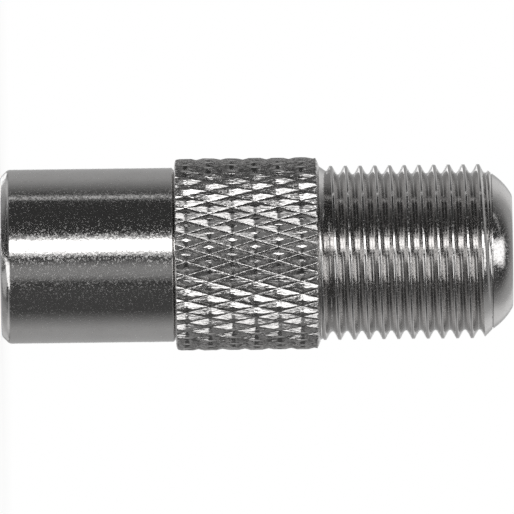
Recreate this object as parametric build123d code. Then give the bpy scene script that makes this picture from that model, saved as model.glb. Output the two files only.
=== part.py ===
from build123d import *
from math import ceil, cos, pi, sin
import os

# Coaxial adapter: a push-on aerial plug at the lower end, a threaded F jack at the upper end.
# It stands on the rim of its plug, with +Z along its axis and the origin at the rim's centre.
# All sizes are in millimetres.

# Plug sleeve, a turned tube pressed into the collar
sleeve_d = 9.4
sleeve_wall = 0.65
sleeve_reach = 9.4          # rim to collar
rim_bevel = 0.4             # outer edge of the rim
rim_inner_bevel = 0.1
spigot_step = 0.25          # turned down by this much where it enters the collar
spigot_length = 3.6

# Knurled collar
collar_length = 7.8
collar_proud = 0.5          # over the sleeve or the thread, whichever is larger
collar_bevel = 0.25         # lower edge
collar_slope = 0.2          # height over which the upper face slopes down
collar_ledge = 0.05         # flat step round the thread's start
knurl_count = 42            # diamonds round the collar
knurl_row = 1.245           # half a diamond's length
knurl_depth = 0.27
knurl_flat = 0.25           # share of a full point that is missing at each diamond's top
knurl_start = 0.6           # collar's lower face to the first crossing of grooves

# Thread of the jack, 3/8-32
thread_d = 9.4
thread_pitch = 25.4 / 32
thread_depth = 0.46
thread_length = 9.3         # collar to nose
thread_phase = 0.64         # height of a groove over the collar, on the +X side
thread_columns = 32         # flat sides for each turn
thread_crest = 0.27         # width of the flat crest
profile_rows = 3            # corners in one pitch: root, crest's lower edge, crest's upper edge
run_out = 0.65              # cone at the collar into which the grooves fade

# Nose and bores of the jack
nose_length = 1.1
nose_bulge = 0.09           # rise of the nose's arc over its chord
nose_edge = 0.12
nose_step = 0.04            # nose below the thread's root
face_ring = 0.45            # flat ring round the mouth
barrel_wall = 1.04          # under the thread's root
lip_width = 0.6
lip_length = 1.0

# Bead that holds the plug's pin
hub_length = 3.1
bead_flange = 1.2

# Contact pin and its socket
pin_d = 2.35
pin_recess = 0.4            # tip inside the sleeve's rim
shank_step = 0.225          # radial, where the pin enters the bead
shoulder_step = 0.3         # radial, behind the bead
shoulder_length = 0.8
socket_wall = 0.5
socket_length = 3.0
socket_floor = 0.6

# Spring clip that grips the cable's inner wire
clip_d = 1.9
clip_wall = 0.2
tine_length = 5.8
tine_slot = 0.22
grip_d = 0.6
grip_length = 0.4
flare_d = 1.5
flare_length = 0.5

# Front insulator
guide_clearance = 0.15      # round the clip
clip_end_gap = 0.4          # over the clip
front_web = 1.4             # in front of the guide bore
entry_d = 1.4
funnel_d = 2.8
funnel_depth = 0.6
face_recess = 0.3           # insulator's face below the nose

# Radii that follow from the sizes above
sleeve_r = sleeve_d / 2
sleeve_bore_r = sleeve_r - sleeve_wall
spigot_r = sleeve_r - spigot_step
thread_r = thread_d / 2
root_r = thread_r - thread_depth
jack_bore_r = root_r - barrel_wall
lip_r = jack_bore_r - lip_width
nose_r = root_r - nose_step
collar_r = max(sleeve_r, thread_r) + collar_proud
pin_r = pin_d / 2
shank_r = pin_r + shank_step
clip_r = clip_d / 2
guide_r = clip_r + guide_clearance

# Heights that follow from the sizes above
collar_z = sleeve_reach
thread_z = collar_z + collar_length
nose_z = thread_z + thread_length
face_z = nose_z + nose_length
lip_z = face_z - lip_length
flange_z = collar_z + spigot_length
hub_z = flange_z - hub_length
shoulder_z = flange_z + bead_flange
socket_z = shoulder_z + shoulder_length
socket_top_z = socket_z + socket_length
clip_z = shoulder_z + socket_floor
guide_top_z = lip_z - front_web
clip_top_z = guide_top_z - clip_end_gap


def turned(*outline):
    """Revolve a closed half section of (radius, height) corners about the axis."""
    with BuildSketch(Plane.XZ) as section:
        with BuildLine():
            Polyline(*outline, close=True)
        make_face()
    return revolve(section.sketch, Axis.Z)


def drum(radius, low, high):
    """Plain cylinder on the axis between two heights."""
    return Pos(0, 0, low) * Cylinder(radius, high - low, align=(Align.CENTER, Align.CENTER, Align.MIN))


def plug_sleeve():
    """Plain tube with a bevelled rim, and a thinner spigot inside the collar."""
    return turned(
        (sleeve_bore_r + rim_inner_bevel, 0),
        (sleeve_r - rim_bevel, 0),
        (sleeve_r, rim_bevel),
        (sleeve_r, collar_z),
        (spigot_r, collar_z),
        (spigot_r, flange_z),
        (sleeve_bore_r, flange_z),
        (sleeve_bore_r, rim_inner_bevel),
    )


def pin_insulator():
    """Bead with a hub inside the sleeve and a flange between the spigot and the body's shoulder."""
    return turned(
        (shank_r, hub_z),
        (sleeve_bore_r, hub_z),
        (sleeve_bore_r, flange_z),
        (spigot_r, flange_z),
        (spigot_r, shoulder_z),
        (shank_r, shoulder_z),
    )


def contact_pin():
    """Pin with a round tip, a thicker shank in the bead, a shoulder and a blind socket for the clip."""
    shoulder_r = shank_r + shoulder_step
    socket_r = clip_r + socket_wall
    with BuildSketch(Plane.XZ) as section:
        with BuildLine():
            tip = CenterArc((0, pin_recess + pin_r), pin_r, -90, 90)
            Polyline(
                tip @ 1,
                (pin_r, hub_z),
                (shank_r, hub_z),
                (shank_r, shoulder_z),
                (shoulder_r, shoulder_z),
                (shoulder_r, socket_z),
                (socket_r, socket_z),
                (socket_r, socket_top_z),
                (clip_r, socket_top_z),
                (clip_r, clip_z),
                (0, clip_z),
                tip @ 0,
            )
        make_face()
    return revolve(section.sketch, Axis.Z)


def spring_clip():
    """Tube slit into four tines that close to a grip and flare at the mouth."""
    tail_bore_r = clip_r - clip_wall
    grip_r = grip_d / 2
    flare_r = flare_d / 2
    tine_z = clip_top_z - tine_length
    grip_top_z = clip_top_z - flare_length
    grip_z = grip_top_z - grip_length
    tube = turned(
        (tail_bore_r, clip_z),
        (clip_r, clip_z),
        (clip_r, tine_z),
        (grip_r + clip_wall, grip_z),
        (grip_r + clip_wall, grip_top_z),
        (flare_r, clip_top_z),
        (flare_r - clip_wall, clip_top_z),
        (grip_r, grip_top_z),
        (grip_r, grip_z),
        (tail_bore_r, tine_z),
    )
    slit = Pos(0, 0, tine_z) * Box(
        clip_d + flare_d, tine_slot, 2 * tine_length, align=(Align.CENTER, Align.CENTER, Align.MIN)
    )
    return tube - slit - Rot(0, 0, 90) * slit


def front_insulator():
    """Plug that fills the jack's bore behind the lip, guides the clip and funnels the wire in."""
    face = face_z - face_recess
    entry_r = entry_d / 2
    return turned(
        (guide_r, socket_top_z),
        (jack_bore_r, socket_top_z),
        (jack_bore_r, lip_z),
        (lip_r, lip_z),
        (lip_r, face),
        (funnel_d / 2, face),
        (entry_r, face - funnel_depth),
        (entry_r, guide_top_z),
        (guide_r, guide_top_z),
    )


def flat_sided(sides, *outline):
    """Closed solid of flat sides round the axis, through (radius, height) corners listed upwards."""
    rings = []
    for radius, height in outline:
        angles = [2 * pi * side / sides for side in range(sides)]
        rings.append([Vector(radius * cos(angle), radius * sin(angle), height) for angle in angles])
    faces = [Face(Wire.make_polygon(ring)) for ring in (rings[0], rings[-1])]
    for lower, upper in zip(rings, rings[1:]):
        for side in range(sides):
            corners = [lower[side - 1], lower[side], upper[side], upper[side - 1]]
            faces.append(Face(Wire.make_polygon(corners)))
    return Solid(Shell(faces))


def lattice_point(radius, column, level):
    """Point of the knurl at a number of columns round the collar and of rows up from the first crossing."""
    angle = 2 * pi * column / knurl_count
    return Vector(radius * cos(angle), radius * sin(angle), collar_z + knurl_start + level * knurl_row)


def knurled_blank():
    """Closed solid whose wall is raised diamonds with blunt tops, longer than the collar.

    Each diamond is a pyramid on four crossings of the grooves, cut off below its point. It is
    made as an upper and a lower half, so that its blunt top follows the collar round.
    """
    valley_r = collar_r - knurl_depth
    point_r = valley_r + knurl_depth / (1 - knurl_flat)
    first = -ceil(knurl_start / knurl_row)
    last = ceil((collar_length - knurl_start) / knurl_row)
    faces = []
    rims = {first: [], last: []}
    for level in range(first, last + 1):
        for count in range(knurl_count):
            column = count + (level % 2) / 2
            point = lattice_point(point_r, column, level)
            left = lattice_point(valley_r, column - 0.5, level)
            right = lattice_point(valley_r, column + 0.5, level)
            top_left = point + (left - point) * knurl_flat
            top_right = point + (right - point) * knurl_flat
            for end_level in (level - 1, level + 1):
                if first <= end_level <= last:
                    end = lattice_point(valley_r, column, end_level)
                    top_end = point + (end - point) * knurl_flat
                    faces.append(Face(Wire.make_polygon([left, end, top_end, top_left])))
                    faces.append(Face(Wire.make_polygon([right, end, top_end, top_right])))
                    faces.append(Face(Wire.make_polygon([top_left, top_right, top_end])))
            if level in rims:
                rims[level] += [left, top_left, top_right]
    faces += [Face(Wire.make_polygon(corners)) for corners in rims.values()]
    return Solid(Shell(faces))


def knurled_collar():
    """Knurled blank cut to the collar's length, bevelled below and sloped down to the thread above."""
    over = collar_r + collar_bevel
    ledge_r = thread_r + collar_ledge
    slope = collar_slope / (collar_r - ledge_r)
    envelope = flat_sided(
        2 * knurl_count,
        (collar_r - collar_bevel, collar_z),
        (over, collar_z + 2 * collar_bevel),
        (over, thread_z - (over - ledge_r) * slope),
        (ledge_r, thread_z),
    )
    return envelope & knurled_blank()


def helix_point(column, row):
    """Corner of the thread: columns run round the axis, and rows along one pitch after another.

    The root rises to the crest over the run-out, so that the grooves fade towards the collar.
    """
    turns, column = divmod(column, thread_columns)
    pitches, row = divmod(row, profile_rows)
    height = (0, (thread_pitch - thread_crest) / 2, (thread_pitch + thread_crest) / 2)[row]
    over_collar = thread_phase + height + (turns + pitches + column / thread_columns) * thread_pitch
    fade = min(max(1 - over_collar / run_out, 0), 1)
    radius = thread_r if row else root_r + fade * thread_depth
    angle = 2 * pi * column / thread_columns
    return Vector(radius * cos(angle), radius * sin(angle), thread_z + over_collar)


def thread_blank():
    """Closed solid with a right-handed thread of flat facets, longer than the thread at both ends."""
    first = -profile_rows * ceil(thread_phase / thread_pitch + 2)
    last = profile_rows * ceil((thread_length - thread_phase) / thread_pitch + 1)
    faces = []
    for column in range(thread_columns):
        for row in range(first, last):
            low, high = helix_point(column, row), helix_point(column, row + 1)
            next_low, next_high = helix_point(column + 1, row), helix_point(column + 1, row + 1)
            on_crest = row % profile_rows == 1
            if on_crest:
                faces.append(Face(Wire.make_polygon([low, next_low, next_high, high])))
            else:
                faces.append(Face(Wire.make_polygon([low, next_low, next_high])))
                faces.append(Face(Wire.make_polygon([low, next_high, high])))
    for row in (first, last):
        hub = Vector(0, 0, helix_point(thread_columns // 2, row).Z)
        step = [helix_point(0, row + count) for count in range(profile_rows + 1)]
        faces.append(Face(Wire.make_polygon([hub] + step)))
        for column in range(thread_columns):
            rim = [helix_point(column, row), helix_point(column + 1, row)]
            faces.append(Face(Wire.make_polygon([hub] + rim)))
    return Solid(Shell(faces))


def thread():
    """Thread cut to length, with a lead-in cone down to the nose."""
    over = 2 * thread_r - nose_r
    return thread_blank() & turned(
        (0, thread_z),
        (over, thread_z),
        (over, nose_z - (over - nose_r)),
        (nose_r, nose_z),
        (0, nose_z),
    )


def nose():
    """Convex nose from the thread's root to the flat ring round the mouth, its edge bevelled."""
    ring_r = lip_r + face_ring
    with BuildSketch(Plane.XZ) as section:
        with BuildLine():
            flank = SagittaArc((nose_r, nose_z), (ring_r, face_z), -nose_bulge)
            Polyline(flank @ 1, (0, face_z), (0, nose_z), flank @ 0)
        make_face()
        chamfer(section.vertices().sort_by_distance((ring_r, face_z))[0], nose_edge)
    return revolve(section.sketch, Axis.Z)


def jack_body():
    """Turned body: knurled collar, thread and nose, bored through and counterbored for the plug."""
    body = knurled_collar() + thread() + nose()
    counterbore = drum(spigot_r, collar_z, shoulder_z)
    jack_bore = drum(jack_bore_r, shoulder_z, lip_z)
    mouth = drum(lip_r, lip_z, face_z)
    return body - (counterbore + jack_bore + mouth)


PIECES = {
    "plug_sleeve": plug_sleeve,
    "pin_insulator": pin_insulator,
    "contact_pin": contact_pin,
    "spring_clip": spring_clip,
    "front_insulator": front_insulator,
    "jack_body": jack_body,
}

os.makedirs("parts", exist_ok=True)
for name, make in PIECES.items():
    piece = make()
    piece.label = name
    export_step(piece, f"parts/{name}.step")
    print(f"{name}: {piece.volume:.2f} mm3, {len(piece.faces())} faces, valid {piece.is_valid}")
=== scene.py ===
"""Looks of a straight coaxial adapter: smooth aerial plug, knurled collar and threaded F jack.

The adapter stands on its plug's rim, with +Z along its axis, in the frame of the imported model.
Sizes in the classes are millimetres, and meshes are made in metres.
"""

import logging
from dataclasses import dataclass, field
from enum import Enum
from math import atan2, cos, hypot, pi, radians, sin
from typing import Callable

import bmesh
import bpy
from bpy.types import ID, Material, Node, NodeSocket, NodeTree, Object
from mathutils import Matrix, Vector, noise


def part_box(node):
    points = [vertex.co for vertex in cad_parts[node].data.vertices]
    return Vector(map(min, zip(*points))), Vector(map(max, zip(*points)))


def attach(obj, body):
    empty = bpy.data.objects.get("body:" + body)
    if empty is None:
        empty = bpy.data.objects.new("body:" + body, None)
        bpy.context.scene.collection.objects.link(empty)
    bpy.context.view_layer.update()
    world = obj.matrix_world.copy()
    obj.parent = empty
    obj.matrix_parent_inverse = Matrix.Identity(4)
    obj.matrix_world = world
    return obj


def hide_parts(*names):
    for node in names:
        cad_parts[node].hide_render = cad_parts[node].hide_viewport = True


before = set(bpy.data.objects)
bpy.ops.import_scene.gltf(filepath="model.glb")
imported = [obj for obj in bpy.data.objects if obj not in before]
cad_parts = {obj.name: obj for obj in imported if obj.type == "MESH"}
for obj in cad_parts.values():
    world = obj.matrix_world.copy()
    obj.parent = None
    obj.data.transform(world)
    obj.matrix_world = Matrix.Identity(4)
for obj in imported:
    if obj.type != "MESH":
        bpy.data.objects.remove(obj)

log = logging.getLogger("adapter")

MM = 0.001
BODY = "root"

# Points on a cut, and points at one height, may be off by this much, in millimetres.
ON_CUT = 1e-5
SAME_HEIGHT = 1e-4

# Eases of an edge in millimetres: left crisp by the tool, broken, and rounded.
CRISP, BROKEN, ROUNDED = 0.03, 0.05, 0.08

Point = tuple[float, float, float]
Corner = tuple[float, float, float]
Profile = list[tuple[float, float]]
Surface = tuple[list[Point], list[list[int]]]
Limit = Callable[[float, float], float]


def linear_rgba(hex_code: str) -> tuple[float, float, float, float]:
    """Turn an sRGB hex code into the linear colour that a shader takes.

    Args:
        hex_code: Colour as "#RRGGBB".

    Returns:
        Red, green, blue and an alpha of 1.
    """
    channels = (int(hex_code[i:i + 2], 16) / 255 for i in (1, 3, 5))
    red, green, blue = (
        c / 12.92 if c <= 0.04045 else ((c + 0.055) / 1.055) ** 2.4 for c in channels
    )
    return red, green, blue, 1.0


def new_material(name: str, settings: dict[str, float]) -> tuple[Material, NodeTree]:
    """Make a material whose one shader has the given settings.

    Args:
        name: Name of the material.
        settings: Constants for the shader's inputs, by name.

    Returns:
        The material and its node tree.
    """
    material = bpy.data.materials.new(name)
    material.use_nodes = True
    shader = material.node_tree.nodes["Principled BSDF"]
    for key, value in settings.items():
        shader.inputs[key].default_value = value
    return material, material.node_tree


def new_object(name: str, data: ID) -> Object:
    """Put a mesh or a camera into the scene.

    Args:
        name: Name of the object.
        data: Its mesh or camera.

    Returns:
        The object.
    """
    made = bpy.data.objects.new(name, data)
    bpy.context.scene.collection.objects.link(made)
    return made


def add_node(
    tree: NodeTree, kind: str, settings: dict | None = None, inputs: dict | None = None
) -> Node:
    """Add one shader node with its settings and links.

    Args:
        tree: Node tree that takes the node.
        kind: Blender's type name of the node.
        settings: Attributes of the node itself, such as its operation.
        inputs: Sockets or constants that feed its inputs, by name or number.

    Returns:
        The new node.
    """
    node = tree.nodes.new(kind)
    for key, value in (settings or {}).items():
        setattr(node, key, value)
    for key, item in (inputs or {}).items():
        if isinstance(item, NodeSocket):
            tree.links.new(item, node.inputs[key])
        else:
            node.inputs[key].default_value = item
    return node


def mottle(
    tree: NodeTree, colours: tuple[str, str], patch_mm: float, cloud: dict[str, float]
) -> Node:
    """Colour a material in two tones that run into each other in clouds.

    Args:
        tree: The material's node tree.
        colours: The two tones, as sRGB hex codes.
        patch_mm: Size of the clouds in millimetres.
        cloud: Other constants of the clouds' noise, by name.

    Returns:
        The clouds' noise node.
    """
    place = add_node(tree, "ShaderNodeTexCoord")
    clouds = add_node(
        tree,
        "ShaderNodeTexNoise",
        inputs={"Vector": place.outputs["Object"], "Scale": 1 / (patch_mm * MM)} | cloud,
    )
    tint = add_node(tree, "ShaderNodeMix", {"data_type": "RGBA"}, {
        0: clouds.outputs["Fac"], 6: linear_rgba(colours[0]), 7: linear_rgba(colours[1]),
    })
    tree.links.new(tint.outputs[2], tree.nodes["Principled BSDF"].inputs["Base Color"])
    return clouds


@dataclass(frozen=True)
class Extent:
    """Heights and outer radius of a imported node."""

    low: float
    high: float
    radius: float

    @classmethod
    def of(cls, node: str) -> "Extent":
        """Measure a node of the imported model, in millimetres."""
        low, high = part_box(node)
        return cls(low.z / MM, high.z / MM, high.x / MM)


class Wall:
    """Points and faces of one closed piece in millimetres, gathered ring by ring round the axis."""

    def __init__(self) -> None:
        """Start with no points."""
        self.points: list[Point] = []
        self.faces: list[list[int]] = []

    def ring(self, radius: float, height: float, columns: int) -> list[int]:
        """Add a circle of points round the axis, or one point on it.

        Args:
            radius: Distance from the axis.
            height: Height over the plug's rim.
            columns: Number of points in a full circle.

        Returns:
            The numbers of the new points.
        """
        start = len(self.points)
        if radius == 0:
            self.points.append((0.0, 0.0, height))
            return [start]
        for column in range(columns):
            angle = 2 * pi * column / columns
            self.points.append((radius * cos(angle), radius * sin(angle), height))
        return list(range(start, start + columns))

    def band(self, lower: list[int], upper: list[int]) -> None:
        """Close the space between two rings with the same columns, or between a ring and the axis.

        Args:
            lower: Points of one ring, or the one point on the axis.
            upper: Points of the other ring, or the one point on the axis.
        """
        if len(lower) == len(upper):
            for i, point in enumerate(lower):
                self.faces.append([lower[i - 1], point, upper[i], upper[i - 1]])
            return
        circle, centre = (lower, upper[0]) if len(upper) == 1 else (upper, lower[0])
        for i, point in enumerate(circle):
            self.faces.append([circle[i - 1], point, centre])

    def zipped(self, lower: list[int], upper: list[int]) -> None:
        """Close the space between two rings whose points stand at different angles.

        Args:
            lower: Points of one ring, in any order.
            upper: Points of the other ring, in any order.
        """
        rings = [sorted(ring, key=self._angle) for ring in (lower, upper)]
        steps = [0, 0]
        while steps[0] < len(rings[0]) or steps[1] < len(rings[1]):
            ahead = [self._turned_angle(ring, step + 1) for ring, step in zip(rings, steps)]
            side = 0 if ahead[0] <= ahead[1] else 1
            if steps[side] == len(rings[side]):
                side = 1 - side
            here = [ring[step % len(ring)] for ring, step in zip(rings, steps)]
            steps[side] += 1
            self.faces.append(here + [rings[side][steps[side] % len(rings[side])]])

    def _angle(self, point: int) -> float:
        """Angle of a point round the axis."""
        x, y, _ = self.points[point]
        return atan2(y, x)

    def _turned_angle(self, ring: list[int], step: int) -> float:
        """Angle of a ring's point, with a full turn added each time that the ring is passed."""
        return self._angle(ring[step % len(ring)]) + 2 * pi * (step // len(ring))

    def lathe(self, profile: Profile, columns: int) -> list[list[int]]:
        """Turn an open profile about the axis.

        Args:
            profile: Radius and height of its points.
            columns: Number of points in a full circle.

        Returns:
            The numbers of the points, ring by ring.
        """
        rings = [self.ring(radius, height, columns) for radius, height in profile]
        for lower, upper in zip(rings, rings[1:]):
            self.band(lower, upper)
        return rings

    def closed_lathe(self, corners: list[Corner], columns: int) -> None:
        """Ease and turn a closed profile, which starts at a corner without an ease."""
        rings = self.lathe(eased(corners + corners[:1])[:-1], columns)
        self.band(rings[-1], rings[0])

    def take(self, part: Surface, low: float, high: float) -> tuple[list[int], list[int]]:
        """Add a part made elsewhere and find the points of its two ends.

        Args:
            part: Its points and faces.
            low: Height of its lower end.
            high: Height of its upper end.

        Returns:
            The numbers of the points at the lower and at the upper end.
        """
        start = len(self.points)
        points, faces = part
        self.points += points
        self.faces += [[start + i for i in face] for face in faces]
        added = range(start, len(self.points))
        lower, upper = (
            [i for i in added if abs(self.points[i][2] - height) < SAME_HEIGHT]
            for height in (low, high)
        )
        return lower, upper

    def piece(self, name: str, node: str, sharp_degrees: float = 32) -> Object:
        """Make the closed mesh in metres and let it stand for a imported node.

        Args:
            name: Name of the new piece.
            node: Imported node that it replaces.
            sharp_degrees: Edges that turn by more than this stay crisp.

        Returns:
            The new object.
        """
        mesh = bpy.data.meshes.new(name)
        mesh.from_pydata([tuple(c * MM for c in point) for point in self.points], [], self.faces)
        shape = bmesh.new()
        shape.from_mesh(mesh)
        bmesh.ops.recalc_face_normals(shape, faces=shape.faces)
        shape.to_mesh(mesh)
        shape.free()
        mesh.shade_smooth()
        mesh.set_sharp_from_angle(angle=radians(sharp_degrees))
        made = new_object(name, mesh)
        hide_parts(node)
        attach(made, BODY)
        return made


def eased(
    corners: list[Corner], steps: int = 4, support: float = 0.03, room: float = 4.0
) -> Profile:
    """Round the corners of a profile and hold its straight stretches straight.

    Args:
        corners: Radius, height and ease of each corner. The ease is how far back rounding starts.
        steps: Points in each rounded corner.
        support: Distance of the extra point that keeps a rounding's shade off the straight.
        room: Length of a stretch that gets such a point, in times its ease and support.

    Returns:
        The profile's points.
    """
    profile: Profile = [corners[0][:2]]
    for before, corner, after in zip(corners, corners[1:], corners[2:]):
        here = Vector(corner[:2])
        ease = corner[2]
        if ease == 0:
            profile.append((here.x, here.y))
            continue
        arms = [Vector(other[:2]) - here for other in (before, after)]
        ends = [here + arm.normalized() * ease for arm in arms]
        holds = [here + arm.normalized() * (ease + support) for arm in arms]
        has_hold = [arm.length > room * (ease + support) for arm in arms]
        if has_hold[0]:
            profile.append(tuple(holds[0]))
        for step in range(steps + 1):
            share = step / steps
            towards = ends[0].lerp(here, share)
            profile.append(tuple(towards.lerp(here.lerp(ends[1], share), share)))
        if has_hold[1]:
            profile.append(tuple(holds[1]))
    return profile + [corners[-1][:2]]


def cut_flat(part: Surface, levels: list[float], limit: Limit) -> Surface:
    """Cut a wall that runs round the axis between two heights and trim its radius.

    Args:
        part: Points and faces of the wall, which is longer than needed.
        levels: Heights that get points of their own. The lowest and the highest are the ends.
        limit: Gives the trimmed radius for a radius and a height.

    Returns:
        Points and faces of what stays.
    """
    points, faces = part
    shape = bmesh.new()
    corners = [shape.verts.new(point) for point in points]
    for face in faces:
        shape.faces.new([corners[i] for i in face])
    for height in sorted(levels):
        bmesh.ops.bisect_plane(
            shape,
            geom=shape.verts[:] + shape.edges[:] + shape.faces[:],
            dist=ON_CUT,
            plane_co=(0, 0, height),
            plane_no=(0, 0, 1),
            clear_inner=height == min(levels),
            clear_outer=height == max(levels),
        )
    for corner in shape.verts:
        x, y, z = corner.co
        radius = hypot(x, y)
        factor = limit(radius, z) / radius
        corner.co = (x * factor, y * factor, z)
    shape.verts.index_update()
    kept = [tuple(corner.co) for corner in shape.verts]
    kept_faces = [[corner.index for corner in face.verts] for face in shape.faces]
    shape.free()
    return kept, kept_faces


def line_place(step: int, shares: tuple[float, ...]) -> float:
    """Place of a grid line whose number is the step, in spacings of the grooves and whole at each."""
    groove, line = divmod(step, len(shares))
    return groove + shares[line]


class Working(Enum):
    """How a metal surface was made, which sets the grain that its plating shows."""

    TURNED = "turned"
    ROLLED = "rolled"


@dataclass(frozen=True)
class Grain:
    """Grain of worked brass, with its width and height in millimetres.

    The real grain is about 0.02 mm wide. It is drawn about five times as coarse, so that it shows in
    the render. On a rolled surface it is drawn out along the axis, as many times its width as given.
    """

    width: float
    height: float
    drawn_out: float = 1.0


GRAINS = {
    Working.TURNED: Grain(width=0.11, height=0.004),
    Working.ROLLED: Grain(width=0.1, height=0.027, drawn_out=5.0),
}


@dataclass(frozen=True)
class NickelPlate:
    """Bright nickel on turned brass: a neutral mirror, broken up by the fine grain of the brass.

    The grain shows as ragged edges of the reflections and as a fine sparkle. Where a knurl was rolled
    it is deeper, and drawn out along the axis.
    """

    working: Working
    base: str = "#C8C7C6"
    stain: str = "#B5B3B2"
    stain_mm: float = 1.6
    roughness: float = 0.1
    dulled_by: float = 0.26
    dulled_grain: tuple[float, float] = (0.47, 0.72)

    def material(self) -> Material:
        """Make the node material.

        Returns:
            The material, named for its working.
        """
        material, tree = new_material(f"nickel_plate_{self.working.value}", {"Metallic": 1.0})
        shader = tree.nodes["Principled BSDF"]
        # Faint clouds in the plating keep the broad reflections from looking flat.
        mottle(tree, (self.base, self.stain), self.stain_mm, {"Detail": 4.0, "Roughness": 0.6})
        grain = GRAINS[self.working]
        place = add_node(tree, "ShaderNodeTexCoord")
        drawn = add_node(tree, "ShaderNodeMapping", inputs={
            "Vector": place.outputs["Object"], "Scale": (1.0, 1.0, 1 / grain.drawn_out),
        })
        bumps = add_node(tree, "ShaderNodeTexNoise", inputs={
            "Vector": drawn.outputs["Vector"],
            "Scale": 1 / (grain.width * MM),
            "Detail": 2.0,
            "Roughness": 0.5,
        })
        # The higher the grain, the duller it is, so that it glints beside a bright reflection.
        gloss = add_node(tree, "ShaderNodeMapRange", inputs={
            "Value": bumps.outputs["Fac"],
            "From Min": self.dulled_grain[0],
            "From Max": self.dulled_grain[1],
            "To Min": self.roughness,
            "To Max": self.roughness + self.dulled_by,
        })
        tree.links.new(gloss.outputs["Result"], shader.inputs["Roughness"])
        relief = add_node(tree, "ShaderNodeBump", inputs={
            "Height": bumps.outputs["Fac"], "Strength": 1.0, "Distance": grain.height * MM,
        })
        tree.links.new(relief.outputs["Normal"], shader.inputs["Normal"])
        return material


@dataclass(frozen=True)
class MouldedAcetal:
    """White acetal, injection moulded: a waxy white with a soft sheen and faint flow marks."""

    base: str = "#E9E8E2"
    shade: str = "#DFDDD4"
    roughness: float = 0.42
    refraction: float = 1.48
    flow_mm: float = 1.8
    flow_height_mm: float = 0.004

    def material(self) -> Material:
        """Make the node material.

        Returns:
            The material.
        """
        material, tree = new_material(
            "moulded_acetal", {"Roughness": self.roughness, "IOR": self.refraction}
        )
        # Wide, soft streaks where the plastic flowed keep the white from looking like paint.
        flow = mottle(tree, (self.base, self.shade), self.flow_mm, {"Detail": 3.0, "Distortion": 0.8})
        relief = add_node(tree, "ShaderNodeBump", inputs={
            "Height": flow.outputs["Fac"],
            "Strength": 0.5,
            "Distance": self.flow_height_mm * MM,
        })
        tree.links.new(relief.outputs["Normal"], tree.nodes["Principled BSDF"].inputs["Normal"])
        return material


@dataclass(frozen=True)
class PhosphorBronze:
    """Bare phosphor bronze strip, rolled into a tube: warm, satin, with a little brown tarnish."""

    base: str = "#C58A5C"
    tarnish: str = "#8F5F3C"
    roughness: float = 0.28
    patch_mm: float = 0.9

    def material(self) -> Material:
        """Make the node material.

        Returns:
            The material.
        """
        material, tree = new_material(
            "phosphor_bronze", {"Metallic": 1.0, "Roughness": self.roughness}
        )
        # Small brown patches show that the metal is bare and has been handled.
        mottle(tree, (self.base, self.tarnish), self.patch_mm, {"Detail": 5.0, "Roughness": 0.65})
        return material


@dataclass
class PlugSleeve:
    """Smooth tube of the plug, with a broken rim and a fine notch where it meets the collar.

    The notch's floor slopes inwards and ends just below the collar's face.
    """

    rim_bevel: float = 0.4
    rim_eases: tuple[float, float] = (0.12, 0.14)
    rim_flat: float = 4.15
    mouth_bevel: float = 0.1
    wall: float = 0.65
    spigot_step: float = 0.25
    notch_depth: float = 0.12
    notch_width: float = 0.13
    notch_end: float = 0.03
    seat_gap: float = 0.02
    columns: int = 256

    def build(self, collar: Extent) -> Object:
        """Turn the sleeve.

        Args:
            collar: Extent of the body, whose low end is the collar's face.

        Returns:
            The piece.
        """
        box = Extent.of("plug_sleeve")
        bore = box.radius - self.wall
        spigot = box.radius - self.spigot_step
        seat = collar.low
        corners = [
            (bore, seat, 0.0),
            (bore, box.low + self.mouth_bevel, CRISP),
            (self.rim_flat, box.low, CRISP),
            (box.radius - self.rim_bevel, box.low, self.rim_eases[0]),
            (box.radius, box.low + self.rim_bevel, self.rim_eases[1]),
            (box.radius, seat - self.notch_width, CRISP),
            (box.radius - self.notch_depth, seat - self.notch_end, 0.0),
            (spigot, seat - self.seat_gap, 0.0),
            (spigot, box.high, BROKEN),
            (bore, box.high, BROKEN),
        ]
        wall = Wall()
        wall.closed_lathe(corners, self.columns)
        made = wall.piece("smooth_sleeve", "plug_sleeve")
        made.data.materials.append(NickelPlate(Working.TURNED).material())
        return made


@dataclass
class PlugPin:
    """Centre pin of the plug, with a round tip and a socket for the spring clip."""

    radius: float = 1.175
    shank_radius: float = 1.4
    shoulder_length: float = 0.8
    socket_outer: float = 1.45
    socket_radius: float = 0.95
    roughness: float = 0.16
    columns: int = 96
    tip_rings: int = 12

    def build(self, bead: Extent, clip: Extent) -> Object:
        """Turn the pin.

        Args:
            bead: Extent of the bead that holds it.
            clip: Extent of the spring clip, whose tail is its socket's floor.

        Returns:
            The piece.
        """
        box = Extent.of("contact_pin")
        tip: Profile = []
        for step in range(self.tip_rings):
            turn = pi / 2 * step / self.tip_rings
            tip.append((self.radius * sin(turn), box.low + self.radius * (1 - cos(turn))))
        shoulder = bead.high + self.shoulder_length
        corners = [
            (self.radius, box.low + self.radius, 0.0),
            (self.radius, bead.low, CRISP),
            (self.shank_radius, bead.low, CRISP),
            (self.shank_radius, bead.high, 0.0),
            (box.radius, bead.high, BROKEN),
            (box.radius, shoulder, ROUNDED),
            (self.socket_outer, shoulder, CRISP),
            (self.socket_outer, box.high, ROUNDED),
            (self.socket_radius, box.high, ROUNDED),
            (self.socket_radius, clip.low, 0.0),
            (0.0, clip.low, 0.0),
        ]
        wall = Wall()
        wall.lathe(tip + eased(corners), self.columns)
        made = wall.piece("plug_pin", "contact_pin")
        made.data.materials.append(NickelPlate(Working.TURNED, roughness=self.roughness).material())
        return made


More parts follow.
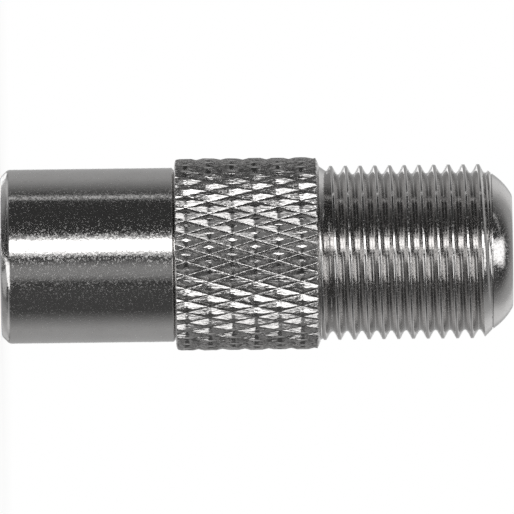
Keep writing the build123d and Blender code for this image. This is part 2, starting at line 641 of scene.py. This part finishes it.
@dataclass
class PinBead:
    """Acetal bead between the sleeve and the pin, with a moulded dish in its open face."""

    bore: float = 1.4
    hub_radius: float = 4.05
    flange_height: float = 1.2
    dish_depth: float = 0.25
    dish_edges: tuple[float, float] = (1.85, 3.55)
    dish_draft: float = 0.12
    dish_ease: float = 0.06
    columns: int = 128

    def build(self) -> Object:
        """Turn the bead.

        Returns:
            The piece.
        """
        box = Extent.of("pin_insulator")
        inner, outer = self.dish_edges
        flange = box.high - self.flange_height
        corners = [
            (self.bore, box.high, 0.0),
            (self.bore, box.low, BROKEN),
            (inner, box.low, self.dish_ease),
            (inner + self.dish_draft, box.low + self.dish_depth, ROUNDED),
            (outer - self.dish_draft, box.low + self.dish_depth, ROUNDED),
            (outer, box.low, self.dish_ease),
            (self.hub_radius, box.low, ROUNDED),
            (self.hub_radius, flange, 0.0),
            (box.radius, flange, CRISP),
            (box.radius, box.high, BROKEN),
        ]
        wall = Wall()
        wall.closed_lathe(corners, self.columns)
        made = wall.piece("pin_bead", "pin_insulator")
        made.data.materials.append(MouldedAcetal().material())
        return made


@dataclass
class WireGuide:
    """Acetal plug in the jack's mouth, with a funnel that leads the cable's inner wire in."""

    guide_bore: float = 1.1
    entry_radius: float = 0.7
    funnel_radius: float = 1.4
    funnel_depth: float = 0.6
    funnel_ease: float = 0.1
    web: float = 1.4
    lip_length: float = 1.0
    lip_radius: float = 2.6
    columns: int = 128

    def build(self, body: Extent) -> Object:
        """Turn the guide.

        Args:
            body: Extent of the turned body, whose high end is the nose.

        Returns:
            The piece.
        """
        box = Extent.of("front_insulator")
        lip = body.high - self.lip_length
        guide_top = lip - self.web
        corners = [
            (self.guide_bore, box.low, 0.0),
            (box.radius, box.low, BROKEN),
            (box.radius, lip, CRISP),
            (self.lip_radius, lip, 0.0),
            (self.lip_radius, box.high, ROUNDED),
            (self.funnel_radius, box.high, ROUNDED),
            (self.entry_radius, box.high - self.funnel_depth, self.funnel_ease),
            (self.entry_radius, guide_top, CRISP),
            (self.guide_bore, guide_top, 0.0),
        ]
        wall = Wall()
        wall.closed_lathe(corners, self.columns)
        made = wall.piece("wire_guide", "front_insulator")
        made.data.materials.append(MouldedAcetal().material())
        return made


@dataclass
class Knurl:
    """Diamonds rolled into the collar by two sets of crossing V grooves, with small lands on top.

    A row is half a diamond's length. The slope is that of a groove's walls, and a land starts at the
    given share of the grooves' spacing. Each entry of the unevenness is a depth and the size of its
    waves. The mesh's lines follow the grooves, at the shares of their spacing, and crowd where a
    groove's floor is rounded.
    """

    columns: int = 42
    row: float = 1.245
    first_crossing: float = 0.6
    slope: float = 0.76
    groove_round: float = 0.035
    land_from: float = 0.375
    unevenness: tuple[tuple[float, float], ...] = ((0.016, 0.6), (0.006, 0.22))
    shares: tuple[float, ...] = (
        0.0, 0.025, 0.06, 0.135, 0.25, 0.375, 0.5, 0.625, 0.75, 0.865, 0.94, 0.975,
    )

    def wall_height(self, place: float, spacing: float) -> float:
        """Height over a groove's floor, at a place across the set, up to the lands."""
        distance = min(abs(place - round(place)), self.land_from) * spacing
        return self.slope * (hypot(distance, self.groove_round) - self.groove_round)

    def ripple(self, angle: float, height: float, radius: float) -> float:
        """Unevenness of the rolled surface at a place, as a height that is never above 0."""
        spot = Vector((radius * cos(angle), radius * sin(angle), height))
        return sum(deep * (noise.noise(spot / size) - 1) for deep, size in self.unevenness)

    def wall(self, radius: float, low: float, high: float) -> Surface:
        """Make the knurled surface on a grid in line with its grooves, longer than the collar.

        Args:
            radius: Outer radius of the diamonds.
            low: Height of the collar's lower face.
            high: Height of its upper face.

        Returns:
            Points and faces.
        """
        origin = low + self.first_crossing
        steps = len(self.shares)
        around = self.columns * steps
        half_column = pi * radius / self.columns
        spacing = 2 * half_column * self.row / hypot(self.row, half_column)
        land = self.wall_height(0.5, spacing)
        first = int((low - origin) / self.row * steps) - steps
        last = int((high - origin) / self.row * steps) + steps
        points: list[Point] = []
        for level in range(first, last + 1):
            for i in range(around):
                right, left = line_place(i, self.shares), line_place(i + level, self.shares)
                angle = pi * (right + left) / self.columns
                height = origin + self.row * (left - right)
                relief = min(self.wall_height(place, spacing) for place in (right, left)) - land
                r = radius + relief + self.ripple(angle, height, radius)
                points.append((r * cos(angle), r * sin(angle), height))
        faces = []
        for level in range(1, last - first):
            for i in range(around):
                here = level * around + i
                right_low = (level - 1) * around + (i + 1) % around
                corners = [here, right_low, right_low + around, here + around]
                in_right_half = i % steps >= steps // 2
                in_left_half = (i + level + first) % steps >= steps // 2
                turn = 0 if in_right_half == in_left_half else 1
                a, b, c, d = corners[turn:] + corners[:turn]
                faces += [[a, b, c], [a, c, d]]
        return points, faces


@dataclass
class JackThread:
    """Right-handed 3/8-32 thread with narrow flat crests and round roots.

    The groove height is that of a root over the collar's face, and over the run-out the groove fades
    into the collar. The mesh's lines follow the helix, at the shares of its pitch, and crowd at the
    crest.
    """

    pitch: float = 25.4 / 32
    depth: float = 0.46
    groove_height: float = 0.64
    run_out: float = 0.65
    root_round: float = 0.13
    crest_flat: float = 0.1
    crest_round: float = 0.04
    columns: int = 144
    shares: tuple[float, ...] = (
        0.0, 0.05, 0.1, 0.16, 0.23, 0.31, 0.37, 0.405, 0.44,
        0.5, 0.56, 0.595, 0.63, 0.69, 0.77, 0.84, 0.9, 0.95,
    )

    def flank(self, place: float) -> float:
        """Height over the root of a thread whose flanks have a slope of 1.

        Args:
            place: Place along the axis in pitches, whole at a root.

        Returns:
            The height in millimetres.
        """
        flat_edge = (self.pitch - self.crest_flat) / 2
        distance = abs(place - round(place)) * self.pitch
        from_root = hypot(distance, self.root_round) - self.root_round
        to_flat = max(flat_edge - distance, 0)
        from_crest = hypot(to_flat, self.crest_round) - hypot(flat_edge, self.crest_round)
        return from_root - from_crest - distance

    def wall(self, outer: float, low: float, high: float) -> Surface:
        """Make the thread's surface on a grid in line with its helix, longer than the thread.

        Args:
            outer: Radius over the crests.
            low: Height where the thread starts, at the collar.
            high: Height where it ends.

        Returns:
            Points and faces.
        """
        steps = len(self.shares)
        first = int(-self.groove_height / self.pitch - 2) * steps
        last = int((high - low - self.groove_height) / self.pitch + 2) * steps
        count = last - first + 1
        slope = self.depth / self.flank(0.5)
        points: list[Point] = []
        for column in range(self.columns):
            turn = column / self.columns
            angle = 2 * pi * turn
            for row in range(first, last + 1):
                place = line_place(row, self.shares)
                radius = outer - self.depth + slope * self.flank(place)
                height = low + self.groove_height + (place + turn) * self.pitch
                points.append((radius * cos(angle), radius * sin(angle), height))
        faces = []
        for column in range(self.columns):
            is_seam = column == self.columns - 1
            shift = steps if is_seam else 0
            start, following = column * count, 0 if is_seam else (column + 1) * count
            for row in range(count - 1 - shift):
                beside = following + row + shift
                faces.append([start + row, beside, beside + 1, start + row + 1])
        return points, faces


@dataclass
class TurnedBody:
    """The jack's body, turned in one piece: knurled collar, thread, nose and bores.

    Each bevel of the collar is a height and a depth. The level shares are distances from the face, in
    parts of the bevel's height, that get points of their own. The lead-in levels are distances below
    the nose. The nose groove's edges are heights over the nose's start: both edges of the groove's
    floor and the edge of the nose itself.
    """

    collar_length: float = 7.8
    lower_bevel: tuple[float, float] = (0.1, 0.3)
    upper_bevel: tuple[float, float] = (0.2, 0.45)
    lower_level_shares: tuple[float, ...] = (0, 1 / 3, 2 / 3, 1, 1.3)
    upper_level_shares: tuple[float, ...] = (1.2, 0.9, 0.6, 0.3, 0)
    ledge: float = 0.05
    thread_radius: float = 4.7
    thread_gap: float = 0.04
    first_thread_level: float = 0.02
    lead_in_levels: tuple[float, ...] = (0.5, 0.4, 0.3, 0.2, 0.1)
    nose_radius: float = 4.2
    nose_height: float = 1.1
    nose_bulge: float = 0.09
    nose_steps: int = 14
    nose_groove: float = 0.07
    nose_groove_edges: tuple[float, float, float] = (-0.02, 0.01, 0.02)
    face_radius: float = 3.0
    face_bevel: tuple[float, float] = (0.08, 0.03)
    face_ease: float = 0.04
    mouth_radius: float = 2.6
    mouth_ease: float = 0.06
    bore_radius: float = 3.2
    counterbore_radius: float = 4.45
    lip_length: float = 1.0
    columns: int = 192
    knurl: Knurl = field(default_factory=Knurl)
    thread: JackThread = field(default_factory=JackThread)

    def collar_limit(self, box: Extent) -> Limit:
        """Give the function that trims the knurl to the bevels of the collar's two faces.

        Args:
            box: Extent of the body, whose low end is the collar's lower face.

        Returns:
            The function of a radius and a height that gives the trimmed radius.
        """
        top = box.low + self.collar_length
        rise, step = self.lower_bevel
        fall, drop = self.upper_bevel
        ledge_radius = self.thread_radius + self.ledge

        def limit(radius: float, height: float) -> float:
            """Trim a point of the collar.

            Args:
                radius: Radius of the point.
                height: Height of the point.

            Returns:
                The trimmed radius.
            """
            lower = box.radius - step + (height - box.low) * step / rise
            upper = ledge_radius + (top - height) * drop / fall
            return min(radius, lower, upper)

        return limit

    def thread_limit(self, start: float, end: float) -> Limit:
        """Give the function that fades the groove at the collar and cuts the lead-in at the nose.

        Args:
            start: Height where the thread starts, at the collar.
            end: Height where the nose starts.

        Returns:
            The function of a radius and a height that gives the trimmed radius.
        """
        root = self.thread_radius - self.thread.depth

        def limit(radius: float, height: float) -> float:
            """Trim a point of the thread and give its radius."""
            faded = self.thread.depth * (height - start) / self.thread.run_out
            return min(max(radius, self.thread_radius - faded, root), self.nose_radius + end - height)

        return limit

    def nose_profile(self, end: float, top: float) -> Profile:
        """Profile from the fine groove above the thread, over the nose, to the mouth.

        Args:
            end: Height where the nose starts.
            top: Height of its flat face.

        Returns:
            The profile's points.
        """
        floor_low, floor_high, edge = (end + height for height in self.nose_groove_edges)
        in_from_side, down_from_face = self.face_bevel
        base = Vector((self.nose_radius, edge))
        tip = Vector((self.face_radius + in_from_side, top - down_from_face))
        chord = tip - base
        bulge = Vector((chord.y, -chord.x)).normalized() * self.nose_bulge
        arc = []
        for step in range(self.nose_steps + 1):
            share = step / self.nose_steps
            arc.append(tuple(base + chord * share + bulge * (4 * share * (1 - share))))
        floor = self.nose_radius - self.nose_groove
        groove = [(floor, floor_low), (floor, floor_high)]
        corners = [
            (*tip, 0.0),
            (self.face_radius, top, self.face_ease),
            (self.mouth_radius, top, self.mouth_ease),
            (self.mouth_radius, top - self.lip_length, 0.0),
        ]
        return groove + arc + eased(corners)[1:]

    def build(self) -> Object:
        """Stitch the knurl, the thread and the turned faces into one closed mesh.

        Returns:
            The piece.
        """
        box = Extent.of("jack_body")
        start = box.low + self.collar_length
        end = box.high - self.nose_height
        shoulder = Extent.of("pin_insulator").high
        wall = Wall()
        rise, fall = self.lower_bevel[0], self.upper_bevel[0]
        levels = [box.low + rise * share for share in self.lower_level_shares]
        levels += [start - fall * share for share in self.upper_level_shares]
        diamonds = self.knurl.wall(box.radius, box.low, start)
        knurled = cut_flat(diamonds, levels, self.collar_limit(box))
        knurl_low, knurl_high = wall.take(knurled, box.low, start)
        thread_top = end - self.thread_gap
        levels = [start, start + self.first_thread_level]
        levels += [end - distance for distance in self.lead_in_levels] + [thread_top]
        helix = self.thread.wall(self.thread_radius, start, end)
        threaded = cut_flat(helix, levels, self.thread_limit(start, end))
        thread_low, thread_high = wall.take(threaded, start, thread_top)
        wall.zipped(knurl_high, thread_low)
        profile = self.nose_profile(end, box.high) + [
            (self.bore_radius, box.high - self.lip_length),
            (self.bore_radius, shoulder),
            (self.counterbore_radius, shoulder),
            (self.counterbore_radius, box.low),
        ]
        rings = wall.lathe(profile, self.columns)
        wall.zipped(thread_high, rings[0])
        wall.zipped(rings[-1], knurl_low)
        made = wall.piece("turned_body", "jack_body", sharp_degrees=30)
        for working in (Working.TURNED, Working.ROLLED):
            made.data.materials.append(NickelPlate(working).material())
        for face in made.data.polygons:
            x, y, z = face.center / MM
            is_rolled = box.low < z < start and hypot(x, y) > self.thread_radius
            face.material_index = int(is_rolled)
        return made


@dataclass
class SpringClip:
    """Bronze clip behind the wire guide, kept as imported from model.glb and given its finish."""

    def dress(self) -> Object:
        """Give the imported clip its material.

        Returns:
            The clip.
        """
        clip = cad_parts["spring_clip"]
        bronze = PhosphorBronze().material()
        for slot in clip.material_slots:
            slot.material = bronze
        return clip


@dataclass(frozen=True)
class Ramp:
    """Smooth rise from 0 to a top level between two angles in degrees.

    It falls from the top level to 0 instead where the first angle is the larger one.
    """

    start: float
    end: float
    top: float = 1.0


# A number, the name of a socket, or an operation or a ramp with the formulas that go in.
Formula = str | float | tuple


class Around(Enum):
    """What a panel of the light tent is bent round, with the names of its two angles."""

    ADAPTER = ("round_adapter", "slant")
    PLUG_END = ("round_plug_end", "from_camera")
    JACK_END = ("round_jack_end", "from_camera")


@dataclass(frozen=True)
class Panel:
    """A soft light or a pale card of the light tent, seen by reflections only.

    Its low and high sides are in degrees. Round the adapter they count from the photograph's camera
    towards the picture's top, and its ends are slants over the adapter's own level, towards the jack.
    At an end they count from the line on which the adapter's axis leaves the picture, towards the
    picture's top, and its ends are angles from the camera.
    """

    name: str
    strength: float
    low: float
    high: float
    low_soft: float
    high_soft: float
    near_end: float = -100.0
    far_end: float = 200.0
    end_soft: float = 8.0
    around: Around = Around.ADAPTER

    def light(self) -> Formula:
        """Write down its light, which fades over the soft edges of its four sides.

        Returns:
            The light's formula.
        """
        turn, along = self.around.value
        low, high, end = self.low_soft / 2, self.high_soft / 2, self.end_soft / 2
        across = (
            "MULTIPLY",
            (Ramp(self.low - low, self.low + low), turn),
            (Ramp(self.high + high, self.high - high), turn),
        )
        lengthwise = (
            "MULTIPLY",
            (Ramp(self.near_end - end, self.near_end + end), along),
            (Ramp(self.far_end + end, self.far_end - end), along),
        )
        return "MULTIPLY", ("MULTIPLY", across, lengthwise), self.strength


class Arithmetic:
    """Formulas worked out by nodes, with names for the sockets that other formulas use."""

    def __init__(self, tree: NodeTree, sockets: dict[str, NodeSocket]) -> None:
        """Start with a node tree and the sockets in it that formulas can name."""
        self.tree = tree
        self.sockets = sockets

    def work_out(self, formula: Formula) -> NodeSocket | float:
        """Add the nodes of a formula.

        Args:
            formula: A formula whose names are known.

        Returns:
            Socket with the result, or the number where the formula is one.
        """
        if isinstance(formula, str):
            return self.sockets[formula]
        if not isinstance(formula, tuple):
            return formula
        action, *parts = formula
        items = [self.work_out(part) for part in parts]
        if isinstance(action, Ramp):
            kind, settings = "ShaderNodeMapRange", {"interpolation_type": "SMOOTHSTEP"}
            levels = [0.0, action.top] if action.start < action.end else [action.top, 0.0]
            items += sorted((action.start, action.end)) + levels
        else:
            kind, settings = "ShaderNodeMath", {"operation": action}
        return add_node(self.tree, kind, settings, dict(enumerate(items))).outputs[0]

    def name_all(self, formulas: dict[str, Formula]) -> None:
        """Work out formulas in order and keep their sockets by name."""
        for name, formula in formulas.items():
            self.sockets[name] = self.work_out(formula)


@dataclass
class LightTent:
    """Surroundings: white for the camera, plain for dull surfaces, and a light tent for reflections.

    The tent is dark round the camera and beyond both ends of the adapter on the camera's side. It is
    pale at the far side, with a brighter backdrop opposite the camera, and shaded low down at the
    rear. Where it slants a little towards either end it is paler, so that bevels and flanks stand out
    from the level faces.
    """

    plain_level: float = 0.95
    dark_front: float = 0.05
    front_tilt: float = 5.0
    far_side: Ramp = Ramp(76.0, 124.0, 0.43)
    backdrop: Ramp = Ramp(166.0, 174.0, 0.57)
    backdrop_slant: Ramp = Ramp(-14.0, -6.0)
    near_ends: Ramp = Ramp(126.0, 92.0)
    near_ends_slant: Ramp = Ramp(45.0, 75.0)
    rear_low: Ramp = Ramp(110.0, 140.0)
    rear_low_slant: Ramp = Ramp(-7.0, -15.0)
    rear_shade: float = 0.72
    slanted_from: Ramp = Ramp(10.0, 24.0)
    slanted_to: Ramp = Ramp(48.0, 32.0)
    slanted_front: float = 0.11
    slanted_side: Ramp = Ramp(50.0, 85.0, 0.3)
    panels: tuple[Panel, ...] = (
        Panel("key_strip", 4.0, 5.7, 21.0, 2.5, 5.0, near_end=-15.0, far_end=24.0),
        Panel("key_halo", 0.95, 0.8, 24.5, 5.0, 12.0, near_end=-15.0, far_end=15.0),
        Panel("low_fill", 0.36, -32.0, -8.0, 16.0, 18.0),
        Panel("low_glow", 0.085, -86.0, -36.0, 10.0, 12.0),
        Panel("upper_line", 0.85, 82.0, 86.6, 2.0, 2.0),
        Panel("plug_side_box", 1.95, -45.0, -8.0, 8.0, 6.0, far_end=-11.0, end_soft=6.0),
        Panel("jack_side_box", 1.8, -16.0, 36.0, 8.0, 8.0, near_end=15.0, far_end=32.0),
        Panel("jack_side_glow", 0.3, -64.0, -6.0, 12.0, 12.0, near_end=14.0, far_end=46.0),
        Panel("rear_key", 1.6, 153.0, 172.0, 4.0, 6.0, far_end=-12.0),
        Panel("rear_low_fill", 0.7, -172.0, -146.0, 8.0, 14.0, far_end=-12.0),
        Panel("plug_end_card", 0.7, -27.0, -9.0, 8.0, 5.0, 35.0, 103.0, around=Around.PLUG_END),
        Panel("jack_end_card", 2.0, -12.0, 10.0, 5.0, 5.0, 35.0, 95.0, around=Around.JACK_END),
    )

    def angles(self) -> dict[str, Formula]:
        """Write down the angles of a direction, from its x, y and z.

        Returns:
            Formulas by name, in the order in which they are worked out.
        """
        tilt = radians(self.front_tilt)
        level_part = ("MULTIPLY", "forward", cos(tilt))
        raised_part = ("MULTIPLY", "upward", sin(tilt))
        return {
            "upward": ("MULTIPLY", "x", -1.0),
            "forward": ("MULTIPLY", "y", -1.0),
            "from_camera": ("DEGREES", ("ARCCOSINE", "forward")),
            "slant": ("DEGREES", ("ARCSINE", "z")),
            "steep": ("ABSOLUTE", "slant"),
            "from_front": ("DEGREES", ("ARCCOSINE", ("ADD", level_part, raised_part))),
            "round_adapter": ("DEGREES", ("ARCTAN2", "upward", "forward")),
            "round_plug_end": ("DEGREES", ("ARCTAN2", "upward", ("MULTIPLY", "z", -1.0))),
            "round_jack_end": ("DEGREES", ("ARCTAN2", "upward", "z")),
        }

    def walls(self) -> dict[str, Formula]:
        """Write down the tent's level without its panels.

        Returns:
            Formulas by name, in the order in which they are worked out.
        """
        near_ends = ("MULTIPLY", (self.near_ends_slant, "steep"), (self.near_ends, "from_camera"))
        rear_low = ("MULTIPLY", (self.rear_low_slant, "slant"), (self.rear_low, "from_camera"))
        far_level = ("MULTIPLY", (self.far_side, "from_front"), ("SUBTRACT", 1.0, near_ends))
        rear_level = ("SUBTRACT", 1.0, ("MULTIPLY", rear_low, self.rear_shade))
        slanted = ("MULTIPLY", (self.slanted_from, "steep"), (self.slanted_to, "steep"))
        slanted_level = ("ADD", (self.slanted_side, "from_front"), self.slanted_front)
        return {
            "far": ("MULTIPLY", far_level, rear_level),
            "behind": ("MULTIPLY", (self.backdrop, "from_camera"), (self.backdrop_slant, "slant")),
            "front": ("ADD", ("MULTIPLY", slanted, slanted_level), self.dark_front),
            "level": ("ADD", ("ADD", "far", "behind"), "front"),
        }

    def build(self) -> None:
        """Make the world and set it on the scene."""
        world = bpy.data.worlds.new("light_tent")
        world.use_nodes = True
        # Dull surfaces see one even level, so the world needs no map of its bright places.
        world.cycles.sampling_method = "NONE"
        tree = world.node_tree
        tree.nodes.clear()
        place = add_node(tree, "ShaderNodeTexCoord")
        axes = add_node(tree, "ShaderNodeSeparateXYZ", inputs={0: place.outputs["Generated"]})
        path = add_node(tree, "ShaderNodeLightPath")
        sockets = {name.lower(): axes.outputs[name] for name in ("X", "Y", "Z")}
        for ray in ("Camera", "Glossy", "Transmission"):
            sockets[ray] = path.outputs[f"Is {ray} Ray"]
        nodes = Arithmetic(tree, sockets)
        nodes.name_all(self.angles() | self.walls())
        for panel in self.panels:
            nodes.name_all({panel.name: panel.light(), "level": ("MAXIMUM", "level", panel.name)})
        nodes.name_all({
            "mirrored": ("MAXIMUM", "Glossy", "Transmission"),
            "plain": ("MULTIPLY", ("SUBTRACT", 1.0, "mirrored"), self.plain_level),
            "seen": ("ADD", ("MULTIPLY", "level", "mirrored"), "plain"),
            "white": ("MAXIMUM", "Camera", "seen"),
        })
        sky = add_node(tree, "ShaderNodeBackground", inputs={"Color": nodes.sockets["white"]})
        add_node(tree, "ShaderNodeOutputWorld", inputs={"Surface": sky.outputs[0]})
        bpy.context.scene.world = world


@dataclass
class Floor:
    """Small pale disc under the plug's rim, with a soft contact shadow, that fades into the white."""

    segments: int = 96
    radius: float = 60.0
    fade_from: float = 8.0
    fade_to: float = 50.0
    drop: float = 0.02
    colour: str = "#F4F4F2"
    white_share: float = 0.84

    def build(self) -> None:
        """Lay the disc."""
        mesh = bpy.data.meshes.new("pale_floor")
        shape = bmesh.new()
        bmesh.ops.create_circle(
            shape, cap_ends=True, segments=self.segments, radius=self.radius * MM
        )
        bmesh.ops.translate(shape, verts=shape.verts, vec=(0, 0, -self.drop * MM))
        shape.to_mesh(mesh)
        shape.free()
        disc = new_object("pale_floor", mesh)
        mesh.materials.append(self.material())

    def material(self) -> Material:
        """White card, shown to the camera from above with a share of its shading and clear otherwise.

        So the metal mirrors the tent below the adapter too, and the plug's mouth is lit from below.

        Returns:
            The material.
        """
        material = bpy.data.materials.new("white_card")
        material.use_nodes = True
        tree = material.node_tree
        tree.nodes.clear()
        card = add_node(tree, "ShaderNodeBsdfDiffuse", inputs={"Color": linear_rgba(self.colour)})
        white = add_node(tree, "ShaderNodeEmission", inputs={"Strength": 1.0})
        clear = add_node(tree, "ShaderNodeBsdfTransparent")
        place = add_node(tree, "ShaderNodeTexCoord")
        reach = add_node(
            tree, "ShaderNodeVectorMath", {"operation": "LENGTH"}, {0: place.outputs["Object"]}
        )
        share = add_node(tree, "ShaderNodeMapRange", {"interpolation_type": "SMOOTHSTEP"}, {
            "Value": reach.outputs["Value"],
            "From Min": self.fade_from * MM,
            "From Max": self.fade_to * MM,
            "To Min": self.white_share,
            "To Max": 1.0,
        })
        shown = add_node(tree, "ShaderNodeMixShader", inputs={
            0: share.outputs["Result"], 1: card.outputs[0], 2: white.outputs[0],
        })
        path = add_node(tree, "ShaderNodeLightPath")
        side = add_node(tree, "ShaderNodeNewGeometry")
        is_shown = add_node(tree, "ShaderNodeMath", {"operation": "SUBTRACT", "use_clamp": True}, {
            0: path.outputs["Is Camera Ray"], 1: side.outputs["Backfacing"],
        })
        mixed = add_node(tree, "ShaderNodeMixShader", inputs={
            0: is_shown.outputs[0], 1: clear.outputs[0], 2: shown.outputs[0],
        })
        add_node(tree, "ShaderNodeOutputMaterial", inputs={"Surface": mixed.outputs[0]})
        return material


@dataclass
class ProductCamera:
    """Long lens at the photograph's side view, rolled so that the standing adapter lies across it.

    The frame's width is measured at the adapter, and the tilt is that of its axis in the picture.
    """

    sensor_width: float = 36.0
    distance: float = 1000.0
    frame_width: float = 27.74
    centre_height: float = 13.815
    axis_above_middle: float = 0.178
    tilt_degrees: float = 0.7

    def build(self) -> None:
        """Place the camera and set it on the scene."""
        data = bpy.data.cameras.new("product_camera")
        data.sensor_width = self.sensor_width
        data.lens = data.sensor_width * self.distance / self.frame_width
        camera = new_object("product_camera", data)
        tilt = radians(self.tilt_degrees)
        along, across = Vector((0, 0, 1)), Vector((-1, 0, 0))
        right = along * cos(tilt) - across * sin(tilt)
        up = along * sin(tilt) + across * cos(tilt)
        back = Vector((0, -1, 0))
        place = Vector((0, -self.distance, self.centre_height)) - up * self.axis_above_middle
        turned = Matrix((right, up, back)).transposed().to_4x4()
        camera.matrix_world = Matrix.Translation(place * MM) @ turned
        bpy.context.scene.camera = camera


def main() -> None:
    """Build and dress the adapter, report its pieces, then set its surroundings and the camera."""
    logging.basicConfig(level=logging.INFO, format="%(name)s: %(message)s")
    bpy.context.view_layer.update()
    body = Extent.of("jack_body")
    pieces = [
        TurnedBody().build(),
        PlugSleeve().build(body),
        PlugPin().build(Extent.of("pin_insulator"), Extent.of("spring_clip")),
        PinBead().build(),
        WireGuide().build(body),
        SpringClip().dress(),
    ]
    for piece in pieces:
        mesh = piece.data
        log.info("%s: %d points, %d faces", piece.name, len(mesh.vertices), len(mesh.polygons))
    Floor().build()
    LightTent().build()
    ProductCamera().build()
    bpy.context.scene.view_settings.view_transform = "Standard"


if __name__ == "__main__":
    main()
